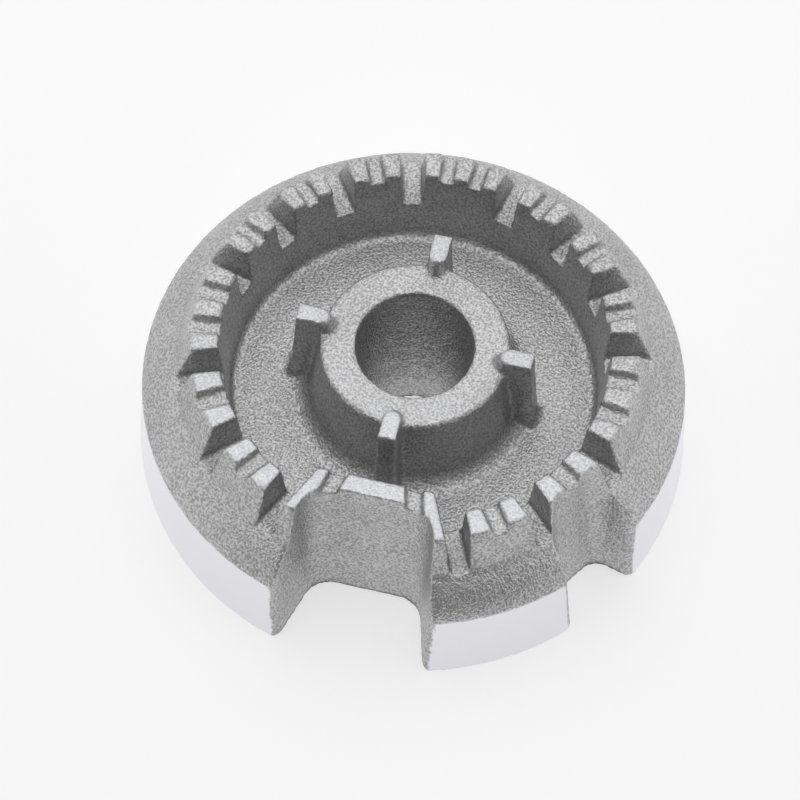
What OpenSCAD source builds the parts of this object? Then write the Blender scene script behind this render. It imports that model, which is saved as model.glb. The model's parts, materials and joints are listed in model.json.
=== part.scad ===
// Gas hob burner head: a one-piece aluminium casting that turns the gas and air
// mixture from its central throat into a crown of small flames.
// The rim stands on Z = 0, the throat runs along Z and the wide recess faces -Y.

/* [Rim and skirt] */
// Radius of the turned rim at its upper edge
rim_r = 37.5; // [36:0.1:42]
// Height of the turned rim
rim_h = 13; // [11:0.1:15]
// Draft of the rim wall, in degrees
rim_draft = 1.5; // [0:0.1:3]
// Rise of the sloping skirt from the rim edge to the port floors
skirt_rise = 5; // [3:0.1:6]
// Radius at which the skirt meets the foot of the teeth
skirt_top_r = 32.9; // [32:0.1:34]
// Height of the skirt's outward curve above its straight chord
skirt_bulge = 0.5; // [0.1:0.05:0.8]
// Fillet at the foot of the teeth
tooth_fillet = 2.5; // [0.5:0.1:4]

/* [Crown of teeth] */
// Height of the teeth above the port floors
tooth_h = 6.4; // [4:0.1:8]
// Outer radius of the tooth tops
crown_out_r = 30.8; // [29.5:0.1:31.8]
// Inner radius of the tooth tops
crown_in_r = 26.85; // [25.5:0.05:27.6]
// Draft of the crown's inner wall, in degrees
crown_draft = 6.8; // [2:0.1:8]
// Rounding of the tooth tops
crown_round = 0.6; // [0.2:0.05:0.8]

/* [Flame ports] */
// Width of a port at its floor
port_w = 2.8; // [2:0.1:3.4]
// Draft of the port walls, in degrees
port_draft = 2.7; // [0:0.1:5]
// Depth of the shallow grooves in the tooth tops
groove_depth = 1.3; // [0.6:0.05:2]
// Draft of the groove walls, in degrees
groove_draft = 8; // [0:0.5:12]
// Share of its own step that a groove takes up at the tooth tops
groove_share = 0.96; // [0.6:0.01:1]
// Bevel along the mouths of ports and grooves
mouth_bevel = 0.25; // [0.1:0.05:0.4]

/* [Channel, hub and throat] */
// Height of the channel floor above the foot of the rim
floor_h = 11.2; // [9.5:0.1:12.5]
// Radius of the hub's flat top
hub_r = 13; // [12:0.1:14]
// Radius at which the hub meets the channel floor
hub_base_r = 14.6; // [14:0.1:16]
// Height of the hub top below the tooth tops
hub_drop = 0.3; // [0:0.1:2]
// Sweep of the hub wall into the channel floor
hub_sweep = 3; // [1:0.1:4]
// Radius of the throat at the hub top
throat_top_r = 8.2; // [7:0.1:9]
// Radius of the straight inlet at the foot of the throat
inlet_r = 5.6; // [4.5:0.1:6.5]
// Length of the straight inlet
inlet_l = 5; // [4.5:0.1:8]

/* [Ribs] */
// Height of the rib tops above the hub top
rib_rise = 2.45; // [1:0.05:4]
// Width of a rib at its top
rib_w = 2.5; // [2:0.05:4]
// Radius of the rib's inner end, at its top
rib_in_r = 12.4; // [11.4:0.1:13]
// Radius of the rib's outer end, at its top
rib_out_r = 16.5; // [15.8:0.1:18]
// Draft of the rib's walls, in degrees
rib_draft = 1.5; // [0:0.1:3]
// Lean of the rib's rounded nose, in degrees
rib_lean = 29; // [10:1:35]

/* [Wide recess] */
// Depth of the wide recess, in from the rim
wide_depth = 11.5; // [9:0.1:12.5]
// Width of its back wall between the sharp corners, at the foot
wide_w = 14.7; // [11:0.1:16]
// Flare of each side wall, in degrees
wide_flare = 15.8; // [5:0.1:20]
// Rounding of its inner corners, at the foot
wide_corner_r = 3.5; // [1.5:0.1:4]
// Draft of its walls, in degrees
wide_draft = 3.2; // [1:0.1:4]
// Thickness of the bridge between the wide recess and the channel, at its top
bridge_t = 2.8; // [2:0.1:4]

/* [Narrow recess] */
// Direction of the narrow recess, in degrees from +X
narrow_angle = -32.2; // [-34:0.1:-29]
// Depth of the narrow recess, in from the rim
narrow_depth = 5.55; // [4:0.1:5.8]
// Width of its back wall between the sharp corners, at the foot
narrow_w = 7.7; // [6:0.1:8.5]
// Flare of each side wall, in degrees
narrow_flare = 17; // [5:0.1:20]
// Rounding of its inner corners, at the foot
narrow_corner_r = 2.4; // [1.5:0.1:2.8]
// Draft of its walls, in degrees
narrow_draft = 3.8; // [1:0.1:4.5]

/* [Casting] */
// Wall thickness of the casting, underneath
wall = 2.5; // [2:0.1:3]
// Rounding of the upright edges where the recesses meet the rim
lip_round = 1.3; // [0.5:0.1:2]
// Fillet at the edges of the channel floor
floor_fillet = 1.2; // [0.4:0.1:2]

/* [Hidden] */
$fn = 96;
facets = 32;
over = 1;
// Rounding arcs are drawn this much larger than tangent, so that they cross the edges
bite = 1.003;
// Ports on one side of the head, in degrees from +Y; the other side mirrors them
port_angles = [14.25, 35.1, 55.4, 75.9, 109.4, 133.1, 155.4];
// Grooves between each port and the next one on the same side
groove_counts = [1, 1, 1, 2, 1, 1];
back_grooves = 2;
// Step of the tooth beside the wide recess, in degrees from -Y
bridge_groove_angle = 13.5;
bridge_groove_w = 2.4;

port_floor_h = rim_h + skirt_rise;
crown_h = port_floor_h + tooth_h;
hub_h = crown_h - hub_drop;
rib_h = hub_h + rib_rise;
rim_foot_r = rim_r + rim_h * tan(rim_draft);
channel_r = crown_in_r - (crown_h - floor_h) * tan(crown_draft);
crown_mid_r = (crown_in_r + crown_out_r) / 2;
port_top_w = port_w + 2 * tooth_h * tan(port_draft);
port_share = 2 * asin(port_top_w / 2 / crown_mid_r);
wide_back_r = rim_r - wide_depth;
wide_back_top_r = wide_back_r - crown_h * tan(wide_draft);
bridge_in_r = wide_back_top_r - bridge_t;
tooth_lean = atan((skirt_top_r - crown_out_r) / tooth_h);
skirt_angle = atan(skirt_rise / (rim_r - skirt_top_r));
skirt_chord = norm([skirt_rise, rim_r - skirt_top_r]);
skirt_curve_r = (pow(skirt_chord / 2, 2) + pow(skirt_bulge, 2)) / (2 * skirt_bulge);
skirt_half_turn = asin(skirt_chord / 2 / skirt_curve_r);
hub_lean = atan((hub_base_r - hub_r) / (hub_h - floor_h));
throat_lean = atan((throat_top_r - inlet_r) / (hub_h - inlet_l));

function unit(a) = [cos(a), sin(a)];

// Where a recess's side wall meets a circle of radius r about the axis, when the
// wall starts half_w off the recess's middle line at back_r and flares outwards
function lip_point(back_r, half_w, flare, r) =
    let (slope = tan(flare),
         start = half_w - back_r * slope,
         root = sqrt(pow(start * slope, 2) - (1 + pow(slope, 2)) * (pow(start, 2) - pow(r, 2))),
         x = (root - start * slope) / (1 + pow(slope, 2)))
    [x, start + slope * x];

// The gore between a corner and the circle of radius r that rounds it: added to an
// inner corner, taken from an outer one. from and to are the directions of its edges.
module gore(corner, from, to, r) {
    half = abs(to - from) / 2;
    middle = (from + to) / 2;
    centre = corner + unit(middle) * r / sin(half);
    reach = r / tan(half);
    difference() {
        polygon([corner - 0.3 * r * unit(middle), corner + reach * unit(from),
                 centre, corner + reach * unit(to)]);
        translate(centre)
            circle(r = r * bite);
    }
}

// The skirt's curve, above the chord from the foot of the teeth to the rim edge,
// with the fillet between it and the outer faces of the teeth
module skirt_curve() {
    foot = [skirt_top_r, port_floor_h];
    edge = [rim_r, rim_h];
    out = unit(90 - skirt_angle);
    centre = (foot + edge) / 2 - out * (skirt_curve_r - skirt_bulge);
    up = unit(90 + tooth_lean);
    side = unit(tooth_lean);
    from_centre = foot + tooth_fillet * side - centre;
    along = from_centre * up;
    climb = sqrt(pow(along, 2) - from_centre * from_centre
                 + pow(skirt_curve_r + tooth_fillet, 2)) - along;
    fillet_centre = foot + tooth_fillet * side + climb * up;
    touch = centre + (fillet_centre - centre) * skirt_curve_r / (skirt_curve_r + tooth_fillet);
    intersection() {
        translate(centre)
            circle(r = skirt_curve_r);
        polygon([foot - over * out, edge - over * out, edge + over * out, foot + over * out]);
    }
    difference() {
        polygon([foot - over * (side + out), foot + climb * up, fillet_centre, touch]);
        translate(fillet_centre)
            circle(r = tooth_fillet * bite);
    }
}

// Half section of the head, from the throat wall to the rim
module head_section() {
    difference() {
        union() {
            polygon([[inlet_r, 0], [rim_foot_r, 0], [rim_r, rim_h],
                     [skirt_top_r, port_floor_h], [crown_out_r, crown_h],
                     [crown_in_r, crown_h], [channel_r, floor_h],
                     [hub_base_r, floor_h], [hub_r, hub_h],
                     [throat_top_r, hub_h], [inlet_r, inlet_l]]);
            skirt_curve();
            gore([channel_r, floor_h], 90 - crown_draft, 180, floor_fillet);
            gore([hub_base_r, floor_h], 0, 90 + hub_lean, hub_sweep);
        }
        gore([crown_out_r, crown_h], 180, 270 + tooth_lean, crown_round);
        gore([crown_in_r, crown_h], -90 - crown_draft, 0, crown_round);
        gore([hub_r, hub_h], 180, 270 + hub_lean, 0.8);
        gore([throat_top_r, hub_h], -90 - throat_lean, 0, 0.4);
        gore([rim_r, rim_h], 180 - skirt_angle - skirt_half_turn, 270 + rim_draft, 0.3);
    }
}

// Half section of the space under the casting, a wall's thickness inside it
module under_section() {
    roof_h = port_floor_h - wall;
    slope_h = rim_h - wall / 2;
    polygon([[inlet_r + wall + 0.5, -over], [inlet_r + wall + 1.5, floor_h - wall],
             [channel_r + wall * 0.7, floor_h - wall], [channel_r + wall, roof_h],
             [skirt_top_r - wall / 2, roof_h], [rim_r - wall - 0.3, slope_h - wall / 2],
             [rim_foot_r - wall, -over]]);
}

// Cutter for a recess in the rim, in its own frame with +X outwards.
// grow moves its walls out into the casting.
module recess(back_r, width, flare, corner_r, draft, grow = 0) {
    reach = corner_r / tan((90 + flare) / 2);
    run = (rim_foot_r + 6 - back_r) / cos(flare);
    height = rib_h + over;
    hull()
        for (side = [-1, 1], along = [0, run])
            translate([back_r + corner_r + along * cos(flare),
                       side * (width / 2 - reach + along * sin(flare)), -over])
                cylinder(r1 = corner_r + grow - over * tan(draft),
                         r2 = corner_r + grow + height * tan(draft),
                         h = height + over, $fn = facets);
}

// Cutter that rounds both upright edges where a recess meets the rim
module recess_lips(back_r, width, flare, draft) {
    widen = rim_h * tan(draft);
    foot = lip_point(back_r, width / 2, flare, rim_foot_r);
    top = lip_point(back_r, width / 2 + widen / cos(flare), flare, rim_r);
    lean = top - foot;
    turn = atan2(lean[1], lean[0]);
    outwards = atan2(foot[1], foot[0]);
    for (side = [0, 1])
        mirror([0, side, 0])
            translate([foot[0], foot[1], 0])
                rotate([0, 0, turn])
                    rotate([0, atan(norm(lean) / rim_h), 0])
                        rotate([0, 0, -turn])
                            translate([0, 0, -over])
                                linear_extrude(rim_h + 3)
                                    gore([0, 0], outwards + 90, 180 + flare, lip_round);
}

module wide_recess(grow = 0) {
    rotate([0, 0, -90])
        recess(wide_back_r, wide_w, wide_flare, wide_corner_r, wide_draft, grow);
}

module narrow_recess(grow = 0) {
    rotate([0, 0, narrow_angle])
        recess(rim_r - narrow_depth, narrow_w, narrow_flare, narrow_corner_r,
               narrow_draft, grow);
}

// Drafted trench with a broken mouth, open upwards, that runs out along +X
module trench(floor_w, top_w, floor_z) {
    depth = crown_h - floor_z;
    slope = (top_w - floor_w) / 2 / depth;
    mouth_z = crown_h - mouth_bevel;
    neck_w = top_w - 2 * mouth_bevel * slope;
    flare = over + mouth_bevel;
    rotate([90, 0, 90])
        translate([0, 0, hub_base_r + 3])
            linear_extrude(rim_r)
                polygon([[-floor_w / 2, floor_z], [floor_w / 2, floor_z],
                         [neck_w / 2, mouth_z], [neck_w / 2 + flare, crown_h + over],
                         [-neck_w / 2 - flare, crown_h + over], [-neck_w / 2, mouth_z]]);
}

module port() {
    trench(port_w, port_top_w, port_floor_h);
}

module groove(top_w) {
    trench(top_w - 2 * groove_depth * tan(groove_draft), top_w, crown_h - groove_depth);
}

// Grooves that split the teeth between two ports into equal steps
module grooves_between(first, second, count) {
    step = (second - first - port_share) / (2 * count + 1);
    for (i = [0 : count - 1])
        rotate([0, 0, first + port_share / 2 + (2 * i + 1.5) * step])
            groove(2 * crown_mid_r * sin(step / 2) * groove_share);
}

// Every port and groove, left and right
module ports_and_grooves() {
    last = len(port_angles) - 1;
    for (side = [0, 1])
        mirror([side, 0, 0]) {
            for (a = port_angles)
                rotate([0, 0, 90 + a])
                    port();
            for (i = [0 : last - 1])
                grooves_between(90 + port_angles[i], 90 + port_angles[i + 1],
                                groove_counts[i]);
            rotate([0, 0, 270 - bridge_groove_angle])
                groove(bridge_groove_w);
        }
    grooves_between(90 - port_angles[0], 90 + port_angles[0], back_grooves);
}

// Straight bridge that closes the crown behind the wide recess, between two ports
module bridge() {
    root = floor_h - wall / 2;
    foot_r = bridge_in_r - (crown_h - floor_h) * tan(crown_draft);
    last_port = port_angles[len(port_angles) - 1];
    difference() {
        rotate([90, 0, -90])
            linear_extrude(2 * crown_in_r, center = true)
                difference() {
                    union() {
                        polygon([[bridge_in_r, crown_h], [crown_mid_r, crown_h],
                                 [crown_mid_r, root], [foot_r, root], [foot_r, floor_h]]);
                        gore([foot_r, floor_h], 90 - crown_draft, 180, floor_fillet);
                    }
                    gore([bridge_in_r, crown_h], -90 - crown_draft, 0, crown_round);
                }
        for (side = [0, 1])
            mirror([side, 0, 0])
                rotate([0, 0, 90 + last_port])
                    translate([0, port_w / 2 - 2 * crown_out_r, 0])
                        cube([2 * crown_out_r, 2 * crown_out_r, 2 * crown_h]);
    }
}

// Upright rib on the side of the hub, with a rounded nose that leans over its top
module rib() {
    height = rib_h - floor_h;
    foot_w = rib_w + 2 * height * tan(rib_draft);
    nose_l = rib_rise + 2;
    nose_r = rib_w / 2 + nose_l * tan(rib_draft);
    foot_r = rib_out_r + height * tan(2 * rib_draft);
    root = floor_h - wall / 2;
    intersection() {
        union() {
            intersection() {
                rotate([90, 0, 0])
                    linear_extrude(2 * foot_w, center = true)
                        union() {
                            polygon([[rib_in_r + rib_w / 2, rib_h], [rib_out_r, rib_h],
                                     [foot_r, floor_h], [foot_r, root],
                                     [hub_r - 2, root], [hub_r - 2, hub_h - 2],
                                     [rib_in_r + rib_w / 2 - nose_l * tan(rib_lean), rib_h - nose_l]]);
                            gore([foot_r, floor_h], 0, 90 + 2 * rib_draft, floor_fillet);
                        }
                rotate([90, 0, 90])
                    linear_extrude(2 * rib_out_r)
                        polygon([[-rib_w / 2, rib_h], [rib_w / 2, rib_h],
                                 [foot_w / 2, floor_h], [foot_w / 2, root],
                                 [-foot_w / 2, root], [-foot_w / 2, floor_h]]);
            }
            translate([rib_in_r + rib_w / 2, 0, rib_h])
                rotate([0, 180 + rib_lean, 0])
                    translate([0, 0, -over])
                        cylinder(r1 = rib_w / 2, r2 = nose_r, h = nose_l + over);
        }
        translate([0, -foot_w, root])
            cube([2 * rib_out_r, 2 * foot_w, rib_h - root]);
    }
}

module burner_head() {
    color("silver")
        difference() {
            union() {
                difference() {
                    rotate_extrude()
                        head_section();
                    difference() {
                        rotate_extrude()
                            under_section();
                        wide_recess(wall);
                        narrow_recess(wall);
                    }
                }
                bridge();
                for (i = [0 : 3])
                    rotate([0, 0, 90 * i])
                        rib();
            }
            ports_and_grooves();
            wide_recess();
            narrow_recess();
            rotate([0, 0, -90])
                recess_lips(wide_back_r, wide_w, wide_flare, wide_draft);
            rotate([0, 0, narrow_angle])
                recess_lips(rim_r - narrow_depth, narrow_w, narrow_flare, narrow_draft);
        }
}

burner_head();
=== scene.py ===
"""Studio picture of a gas hob burner head: one shot-blasted aluminium casting.

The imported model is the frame. Its one solid is copied, given the soft edges and the
uneven skin of a casting, and dressed in a blasted-metal finish. Lengths are in metres.
"""
import json
import logging
import math
from dataclasses import dataclass, field
from enum import Enum

import bpy
import numpy as np
from mathutils import Matrix, Vector

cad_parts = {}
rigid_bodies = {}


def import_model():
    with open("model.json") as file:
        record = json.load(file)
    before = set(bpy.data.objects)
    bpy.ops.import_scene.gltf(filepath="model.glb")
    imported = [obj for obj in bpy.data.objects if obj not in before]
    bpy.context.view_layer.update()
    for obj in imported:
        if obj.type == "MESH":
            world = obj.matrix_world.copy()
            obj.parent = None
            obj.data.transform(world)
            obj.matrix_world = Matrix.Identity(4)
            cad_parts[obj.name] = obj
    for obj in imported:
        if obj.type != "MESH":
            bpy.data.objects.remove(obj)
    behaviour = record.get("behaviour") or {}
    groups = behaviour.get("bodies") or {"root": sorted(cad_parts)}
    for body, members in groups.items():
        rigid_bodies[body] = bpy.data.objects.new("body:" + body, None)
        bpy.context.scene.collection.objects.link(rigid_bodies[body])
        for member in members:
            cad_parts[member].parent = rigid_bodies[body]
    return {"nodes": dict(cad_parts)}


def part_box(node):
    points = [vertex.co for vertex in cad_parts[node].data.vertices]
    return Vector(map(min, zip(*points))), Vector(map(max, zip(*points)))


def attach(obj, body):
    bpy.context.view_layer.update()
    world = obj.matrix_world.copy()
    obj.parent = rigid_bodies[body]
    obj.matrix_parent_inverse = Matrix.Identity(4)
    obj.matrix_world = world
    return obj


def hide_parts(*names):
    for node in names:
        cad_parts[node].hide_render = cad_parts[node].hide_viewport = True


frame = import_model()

LOG = logging.getLogger("burner")
MM = 0.001


class Grade(Enum):
    """How finely the casting's skin is meshed."""

    DRAFT = "draft"
    FULL = "full"


def choose_grade() -> Grade:
    return Grade.FULL


def deselect_all() -> None:
    """Leave nothing selected, so that an operator acts only on what is picked next."""
    for item in bpy.context.view_layer.objects:
        item.select_set(False)


def make_active(item: bpy.types.Object) -> None:
    """Select one object alone and make it active.

    Args:
        item: The object that the next operators act on.
    """
    deselect_all()
    item.select_set(True)
    bpy.context.view_layer.objects.active = item


def apply_modifier(item: bpy.types.Object, kind: str, **settings: object) -> None:
    """Add a modifier, set it up and apply it at once.

    Args:
        item: The object to change.
        kind: Blender's name for the modifier's type.
        **settings: Values for the modifier's own properties.
    """
    make_active(item)
    modifier = item.modifiers.new(kind.title(), kind)
    for name, value in settings.items():
        setattr(modifier, name, value)
    bpy.ops.object.modifier_apply(modifier=modifier.name)


def vertex_rows(item: bpy.types.Object, what: str) -> np.ndarray:
    """Read one vector from every vertex.

    Args:
        item: The object to read.
        what: "co" for the places or "normal" for the normals.

    Returns:
        Rows of x, y and z.
    """
    flat = np.empty(len(item.data.vertices) * 3, dtype=np.float64)
    item.data.vertices.foreach_get(what, flat)
    return flat.reshape(-1, 3)


def set_points(item: bpy.types.Object, points: np.ndarray) -> None:
    """Move the object's vertices.

    Args:
        item: The object to change.
        points: The new places, as rows of x, y and z.
    """
    item.data.vertices.foreach_set("co", points.ravel())
    item.data.update()


def set_group(item: bpy.types.Object, name: str, weights: np.ndarray) -> None:
    """Give the object a vertex group, in eleven steps of weight.

    Args:
        item: The object to change.
        name: The group's name.
        weights: A weight from 0 to 1 for every vertex.
    """
    group = item.vertex_groups.new(name=name)
    steps = np.rint(np.clip(weights, 0, 1) * 10).astype(int)
    for step in range(1, 11):
        chosen = np.flatnonzero(steps == step)
        if len(chosen):
            group.add(chosen.tolist(), step / 10, "REPLACE")


def set_attribute(item: bpy.types.Object, name: str, values: np.ndarray) -> None:
    """Store one number at every vertex, for the material to read.

    Args:
        item: The object to change.
        name: The attribute's name.
        values: A value for every vertex.
    """
    attribute = item.data.attributes.new(name=name, type="FLOAT", domain="POINT")
    attribute.data.foreach_set("value", values.astype(np.float32))


def ramp(values: np.ndarray, start: float, end: float) -> np.ndarray:
    """Return 0 at start, 1 at end and a smooth step between them.

    Args:
        values: The values to map.
        start: The value that maps to 0.
        end: The value that maps to 1, above or below start.

    Returns:
        The mapped values.
    """
    t = np.clip((values - start) / (end - start), 0, 1)
    return t * t * (3 - 2 * t)


@dataclass(frozen=True)
class HeadSizes:
    """The burner head's own measures, as the solid has them."""

    rim_r: float = 37.5 * MM
    rim_h: float = 13 * MM
    rim_draft: float = math.radians(1.5)
    crown_h: float = 24.4 * MM
    rib_h: float = 26.55 * MM


@dataclass
class Nodes:
    """A short-hand for building a material's node tree."""

    tree: bpy.types.NodeTree

    def add(self, kind: str, **settings: object) -> bpy.types.Node:
        """Add a node.

        Args:
            kind: The node's type without its prefix.
            **settings: Values for the node's own properties.

        Returns:
            The new node.
        """
        node = self.tree.nodes.new("ShaderNode" + kind)
        for name, value in settings.items():
            setattr(node, name, value)
        return node

    def link(self, source: bpy.types.NodeSocket, target: bpy.types.NodeSocket) -> None:
        """Join two sockets."""
        self.tree.links.new(source, target)

    def feed(self, target: bpy.types.NodeSocket, value: object) -> None:
        """Link a socket, or set a plain value, on an input.

        Args:
            target: The input to feed.
            value: A socket, or a number or colour.
        """
        if isinstance(value, bpy.types.NodeSocket):
            self.link(value, target)
        else:
            target.default_value = value

    def math(self, operation: str, first: object, second: object = 0.0,
             clamp: bool = False) -> bpy.types.NodeSocket:
        """Combine two values.

        Args:
            operation: Blender's name for the operation.
            first: A socket or a number.
            second: A socket or a number.
            clamp: Whether the result is kept between 0 and 1.

        Returns:
            The result's socket.
        """
        node = self.add("Math", operation=operation, use_clamp=clamp)
        self.feed(node.inputs[0], first)
        self.feed(node.inputs[1], second)
        return node.outputs[0]

    def span(self, value: object, low: float, high: float, to_low: float = 0.0,
             to_high: float = 1.0) -> bpy.types.NodeSocket:
        """Map a range of values smoothly onto another one.

        Args:
            value: A socket or a number.
            low: The value that maps to to_low.
            high: The value that maps to to_high.
            to_low: The result at low and below.
            to_high: The result at high and above.

        Returns:
            The result's socket.
        """
        node = self.add("MapRange", interpolation_type="SMOOTHSTEP")
        self.feed(node.inputs["Value"], value)
        node.inputs["From Min"].default_value = low
        node.inputs["From Max"].default_value = high
        node.inputs["To Min"].default_value = to_low
        node.inputs["To Max"].default_value = to_high
        return node.outputs[0]

    def noise(self, vector: bpy.types.NodeSocket, size: float, detail: float = 2.0,
              roughness: float = 0.5) -> bpy.types.NodeSocket:
        """Make a cloudy pattern.

        Args:
            vector: The places to read it at.
            size: How far across its lumps are, in metres.
            detail: How many finer layers it has.
            roughness: How strong the finer layers are.

        Returns:
            The pattern's socket, about 0.5 on average.
        """
        node = self.add("TexNoise", noise_dimensions="3D")
        self.link(vector, node.inputs["Vector"])
        node.inputs["Scale"].default_value = 1 / size
        node.inputs["Detail"].default_value = detail
        node.inputs["Roughness"].default_value = roughness
        return node.outputs["Fac"]

    def cells(self, vector: bpy.types.NodeSocket, size: float) -> bpy.types.NodeSocket:
        """Make a pattern of cells.

        Args:
            vector: The places to read it at.
            size: How far across its cells are, in metres.

        Returns:
            The socket of the distance from each cell's middle.
        """
        node = self.add("TexVoronoi", voronoi_dimensions="3D", feature="F1")
        self.link(vector, node.inputs["Vector"])
        node.inputs["Scale"].default_value = 1 / size
        return node.outputs["Distance"]

    def blend(self, factor: object, first: object, second: object) -> bpy.types.NodeSocket:
        """Mix two colours.

        Args:
            factor: A socket or a number, 0 for the first colour.
            first: A socket or a colour.
            second: A socket or a colour.

        Returns:
            The mixed colour's socket.
        """
        node = self.add("Mix", data_type="RGBA")
        self.feed(node.inputs["Factor"], factor)
        self.feed(node.inputs["A"], first)
        self.feed(node.inputs["B"], second)
        return node.outputs["Result"]


@dataclass(frozen=True)
class BlastedAluminium:
    """The casting's finish: blasted grain, a turned rim, painted shade darkening the foot, and
    wear with a painted highlight on the tops.
    """

    name: str = "blasted_aluminium"
    pale: tuple = (0.60, 0.60, 0.61, 1.0)
    deep: tuple = (0.36, 0.355, 0.35, 1.0)
    rough: float = 0.42
    turned: tuple = (0.80, 0.80, 0.84, 1.0)
    turned_rough: float = 0.2
    # light tone for wear on the rib tops and a painted highlight on the camera-side crown tops
    wear_and_highlight: tuple = (0.74, 0.75, 0.78, 1.0)
    wear_and_highlight_share: float = 0.6
    # near-black tone of the painted shade along the foot
    painted_foot_shade: tuple = (0.05, 0.045, 0.04, 1.0)
    grain: float = 0.34 * MM
    cloud: float = 9 * MM
    bump_depth: float = 0.16 * MM

    def build(self) -> bpy.types.Material:
        """Make the material.

        Returns:
            The finished material.
        """
        material = bpy.data.materials.new(self.name)
        material.use_nodes = True
        nodes = Nodes(material.node_tree)
        shader = material.node_tree.nodes["Principled BSDF"]
        shader.inputs["Metallic"].default_value = 1.0
        place = nodes.add("TexCoord").outputs["Object"]
        turned = nodes.add("Attribute", attribute_name="turned").outputs["Fac"]
        painted_foot_shade = nodes.add("Attribute", attribute_name="painted_foot_shade").outputs["Fac"]
        wear_and_highlight = nodes.add("Attribute", attribute_name="wear_and_highlight").outputs["Fac"]
        grain = nodes.noise(place, self.grain, detail=1.5, roughness=0.6)
        pits = nodes.cells(place, 1.6 * self.grain)
        cloud = nodes.noise(place, self.cloud, detail=3.0)
        tone = nodes.math("ADD", nodes.span(grain, 0.36, 0.62),
                          nodes.span(cloud, 0.3, 0.7, -0.12, 0.12), clamp=True)
        skin = nodes.blend(tone, self.deep, self.pale)
        # wear and painted highlight: rib tops worn lighter, upward crown tops on the camera side
        # given a painted highlight
        wear_and_highlight_mix = nodes.math("MULTIPLY", wear_and_highlight, self.wear_and_highlight_share, clamp=True)
        skin = nodes.blend(wear_and_highlight_mix, skin, self.wear_and_highlight)
        # painted shade: the foot inside the rim turns near-black
        skin = nodes.blend(painted_foot_shade, skin, self.painted_foot_shade)
        nodes.link(nodes.blend(turned, skin, self.turned), shader.inputs["Base Color"])
        cast = nodes.math("SUBTRACT", 1.0, turned)
        rough = nodes.span(grain, 0.35, 0.65, self.rough + 0.08, self.rough - 0.06)
        cast_rough = nodes.math("MULTIPLY", rough, cast)
        wall_rough = nodes.math("MULTIPLY", turned, self.turned_rough)
        nodes.link(nodes.math("ADD", cast_rough, wall_rough), shader.inputs["Roughness"])
        height = nodes.math("SUBTRACT", grain, nodes.math("MULTIPLY", pits, 0.25))
        bump = nodes.add("Bump")
        bump.inputs["Distance"].default_value = self.bump_depth
        nodes.link(cast, bump.inputs["Strength"])
        nodes.link(height, bump.inputs["Height"])
        nodes.link(bump.outputs["Normal"], shader.inputs["Normal"])
        return material


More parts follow.
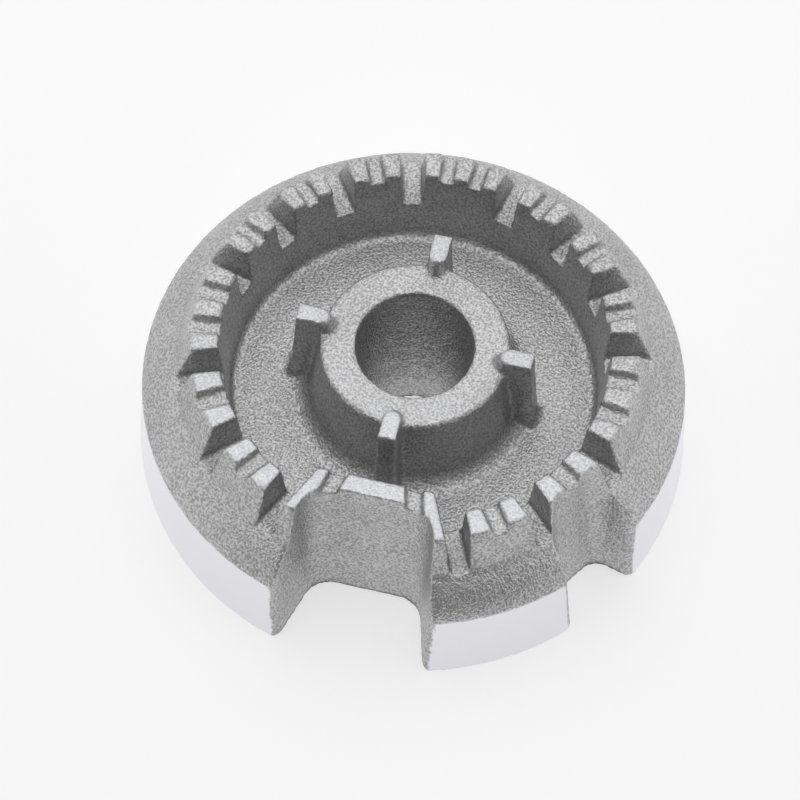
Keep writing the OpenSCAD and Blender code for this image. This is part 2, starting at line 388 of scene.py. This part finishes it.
@dataclass
class Casting:
    """The whole burner head, as the one casting that it is."""

    grade: Grade
    sizes: HeadSizes = field(default_factory=HeadSizes)
    finish: BlastedAluminium = field(default_factory=BlastedAluminium)
    node_name: str = "burner_head"
    voxel: float = 0.3 * MM
    draft_voxel: float = 0.5 * MM
    lumps: tuple = ((2.6 * MM, 0.10 * MM), (0.9 * MM, 0.12 * MM))
    box_margin: float = 0.001 * MM
    most_faces: int = 196_000

    def copy_solid(self) -> bpy.types.Object:
        """Copy the frame's solid and close its loose triangles into one skin.

        Returns:
            The copy.
        """
        source = frame["nodes"][self.node_name]
        copy = bpy.data.objects.new("casting", source.data.copy())
        bpy.context.scene.collection.objects.link(copy)
        copy.data.materials.clear()
        make_active(copy)
        bpy.ops.object.mode_set(mode="EDIT")
        bpy.ops.mesh.select_all(action="SELECT")
        bpy.ops.mesh.remove_doubles(threshold=0.002 * MM)
        bpy.ops.object.mode_set(mode="OBJECT")
        return copy

    def turned_share(self, points: np.ndarray) -> np.ndarray:
        """Return 1 on the turned rim wall and its foot, and 0 elsewhere.

        Args:
            points: Places on the skin.

        Returns:
            A value for every place.
        """
        s = self.sizes
        radius = np.hypot(points[:, 0], points[:, 1])
        wall = s.rim_r + (s.rim_h - points[:, 2]) * math.tan(s.rim_draft)
        on_wall = (radius > wall - 0.12 * MM) & (points[:, 2] < s.rim_h - 0.1 * MM)
        return on_wall.astype(float)

    def soften(self, item: bpy.types.Object) -> None:
        """Round every edge as a casting's are.

        Args:
            item: The casting's mesh.
        """
        voxel = self.draft_voxel if self.grade is Grade.DRAFT else self.voxel
        apply_modifier(item, "REMESH", mode="VOXEL", voxel_size=voxel, adaptivity=0.0)
        apply_modifier(item, "SMOOTH", factor=0.5, iterations=3)

    def roughen(self, item: bpy.types.Object) -> None:
        """Give the skin the low lumps of a shot-blasted casting.

        Args:
            item: The casting's mesh.
        """
        cast = 1 - self.turned_share(vertex_rows(item, "co"))
        set_group(item, "cast", cast)
        for size, lift in self.lumps:
            texture = bpy.data.textures.new("lumps", "CLOUDS")
            texture.noise_scale = size
            texture.noise_depth = 2
            apply_modifier(item, "DISPLACE", texture=texture, strength=lift,
                           mid_level=0.5, texture_coords="LOCAL", vertex_group="cast")

    def keep_in_box(self, item: bpy.types.Object) -> None:
        """Hold the skin just inside the solid's own box, so that the foot stays flat.

        Args:
            item: The casting's mesh.
        """
        low, high = (np.array(corner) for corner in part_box(self.node_name))
        set_points(item, np.clip(vertex_rows(item, "co"), low + self.box_margin,
                                 high - self.box_margin))

    def thin(self, item: bpy.types.Object) -> None:
        """Thin the mesh where it is flattest, down to the most faces that it may have.

        Args:
            item: The casting's mesh.
        """
        item.data.calc_loop_triangles()
        count = len(item.data.loop_triangles)
        if count > self.most_faces:
            apply_modifier(item, "DECIMATE", ratio=self.most_faces / count)

    def mark_zones(self, item: bpy.types.Object) -> None:
        """Store where the skin is turned, where painted shade darkens the foot, and where wear
        and a painted highlight lighten the tops, for the finish to read.

        Args:
            item: The casting's mesh.
        """
        points = vertex_rows(item, "co")
        normals = vertex_rows(item, "normal")
        s = self.sizes
        radius = np.hypot(points[:, 0], points[:, 1])
        set_attribute(item, "turned", self.turned_share(points))
        # painted shade: near-black along the bottom edge inside the rim, where the foot meets
        # the table
        low = ramp(points[:, 2], 0.9 * MM, 0.2 * MM)
        inside = ramp(radius, s.rim_r - 0.2 * MM, s.rim_r - 1.2 * MM)
        set_attribute(item, "painted_foot_shade", low * inside * 0.9)
        # painted highlight: upward crown tops lighter on the camera side (y towards the camera),
        # plus wear on the rib tops
        high = ramp(points[:, 2], s.crown_h - 0.5 * MM, s.crown_h - 0.1 * MM)
        up = ramp(normals[:, 2], 0.7, 0.95)
        near = ramp(points[:, 1], 5 * MM, -22 * MM)
        ribs = ramp(points[:, 2], s.rib_h - 0.6 * MM, s.rib_h - 0.1 * MM)
        set_attribute(item, "wear_and_highlight", np.clip(high * up * near + ribs * 0.6, 0, 1))

    def build(self) -> bpy.types.Object:
        """Build the casting, dress it and seat it on the frame.

        Returns:
            The finished piece.
        """
        item = self.copy_solid()
        self.soften(item)
        self.roughen(item)
        self.keep_in_box(item)
        self.thin(item)
        self.keep_in_box(item)
        self.mark_zones(item)
        item.data.materials.append(self.finish.build())
        make_active(item)
        bpy.ops.object.shade_smooth()
        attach(item, "root")
        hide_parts(self.node_name)
        LOG.info("casting: %d faces", len(item.data.polygons))
        return item


@dataclass
class Studio:
    """A pale table in an open white room, with one dark card on the camera's side."""

    table_r: float = 12.0
    table_glow: float = 0.62
    card_w: float = 2.6
    card_h: float = 1.1
    card_turn: float = math.radians(12.4)
    card_lean: float = math.radians(80)
    card_place: tuple = (0.0, -1.2, 0.60)
    lamp_place: tuple = (-0.15, 0.35, 1.1)
    lamp_w: float = 1.2
    lamp_power: float = 2.0
    room_glossy: float = 0.9
    room_matt: float = 0.6

    def build_table(self) -> bpy.types.Object:
        """Lay the white table that the head stands on.

        Returns:
            The table.
        """
        deselect_all()
        bpy.ops.mesh.primitive_circle_add(vertices=64, radius=self.table_r, fill_type="NGON")
        table = bpy.context.active_object
        table.name = "table"
        material = bpy.data.materials.new("white_table")
        material.use_nodes = True
        nodes = Nodes(material.node_tree)
        output = material.node_tree.nodes["Material Output"]
        material.node_tree.nodes.remove(material.node_tree.nodes["Principled BSDF"])
        path = nodes.add("LightPath")
        seen = nodes.math("MAXIMUM", path.outputs["Is Camera Ray"],
                          nodes.math("MAXIMUM", path.outputs["Is Glossy Ray"],
                                     path.outputs["Is Transmission Ray"]))
        matt = nodes.add("BsdfDiffuse")
        matt.inputs["Color"].default_value = (0.5, 0.5, 0.5, 1.0)
        glow = nodes.add("Emission")
        glow.inputs["Color"].default_value = (1.0, 1.0, 1.0, 1.0)
        nodes.link(nodes.math("MULTIPLY", seen, self.table_glow), glow.inputs["Strength"])
        both = nodes.add("AddShader")
        nodes.link(matt.outputs[0], both.inputs[0])
        nodes.link(glow.outputs[0], both.inputs[1])
        nodes.link(both.outputs[0], output.inputs["Surface"])
        table.data.materials.append(material)
        return table

    def build_card(self) -> bpy.types.Object:
        """Stand the dark card that the near walls of the metal mirror.

        Returns:
            The card.
        """
        deselect_all()
        bpy.ops.mesh.primitive_plane_add(size=1.0)
        card = bpy.context.active_object
        card.name = "dark_card"
        card.data.transform(Matrix.Diagonal((self.card_w, self.card_h, 1.0, 1.0)))
        card.data.transform(Matrix.Rotation(self.card_turn, 4, "Z")
                            @ Matrix.Translation(self.card_place)
                            @ Matrix.Rotation(self.card_lean, 4, "X"))
        material = bpy.data.materials.new("dark_card")
        material.use_nodes = True
        shader = material.node_tree.nodes["Principled BSDF"]
        shader.inputs["Base Color"].default_value = (0.03, 0.03, 0.03, 1.0)
        shader.inputs["Roughness"].default_value = 1.0
        card.data.materials.append(material)
        card.visible_camera = False
        card.visible_shadow = False
        return card

    def hang_lamp(self) -> None:
        """Hang the one soft lamp, high behind the head and aimed at it."""
        lamp = bpy.data.lights.new("overhead_lamp", "AREA")
        lamp.shape = "SQUARE"
        lamp.size = self.lamp_w
        lamp.energy = self.lamp_power
        holder = bpy.data.objects.new("overhead_lamp", lamp)
        bpy.context.scene.collection.objects.link(holder)
        holder.location = self.lamp_place
        aim = -Vector(self.lamp_place)
        holder.rotation_euler = aim.to_track_quat("-Z", "Y").to_euler()

    def light_room(self) -> None:
        """Make the room white to the camera and to the metal, and softly grey to matt things."""
        world = bpy.data.worlds.new("white_room")
        bpy.context.scene.world = world
        world.use_nodes = True
        nodes = Nodes(world.node_tree)
        background = world.node_tree.nodes["Background"]
        path = nodes.add("LightPath")
        seen = nodes.math("MAXIMUM", path.outputs["Is Camera Ray"],
                          path.outputs["Is Transmission Ray"])
        glossy = nodes.math("MULTIPLY", path.outputs["Is Glossy Ray"], self.room_glossy)
        strength = nodes.math("MAXIMUM", nodes.math("MAXIMUM", seen, glossy), self.room_matt)
        background.inputs["Color"].default_value = (1.0, 1.0, 1.0, 1.0)
        nodes.link(strength, background.inputs["Strength"])

    def build(self) -> None:
        """Set up the table, the card, the lamp and the room."""
        self.build_table()
        self.build_card()
        self.hang_lamp()
        self.light_room()
        LOG.info("studio: ready")


@dataclass
class Viewpoint:
    """The camera of the photograph, fitted to the head's own circles."""

    place: tuple = (0.1163, -0.5375, 0.9698)
    turn: float = math.radians(12.4)
    tilt: float = math.radians(29.78)
    roll: float = math.radians(1.57)
    lens: float = 360.0

    def build(self) -> bpy.types.Object:
        """Place the camera.

        Returns:
            The camera.
        """
        camera = bpy.data.objects.new("camera", bpy.data.cameras.new("camera"))
        bpy.context.scene.collection.objects.link(camera)
        camera.data.lens = self.lens
        camera.data.sensor_width = 36.0
        camera.rotation_mode = "QUATERNION"
        camera.location = self.place
        camera.rotation_quaternion = (Matrix.Rotation(self.turn, 3, "Z")
                                      @ Matrix.Rotation(self.tilt, 3, "X")
                                      @ Matrix.Rotation(self.roll, 3, "Z")).to_quaternion()
        bpy.context.scene.camera = camera
        return camera


def main() -> None:
    """Build the camera, the studio and the burner head, in that order."""
    logging.basicConfig(level=logging.INFO, format="%(name)s: %(message)s")
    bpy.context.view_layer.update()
    bpy.context.scene.view_settings.view_transform = "Standard"
    Viewpoint().build()
    Studio().build()
    Casting(choose_grade()).build()


if __name__ == "__main__":
    main()
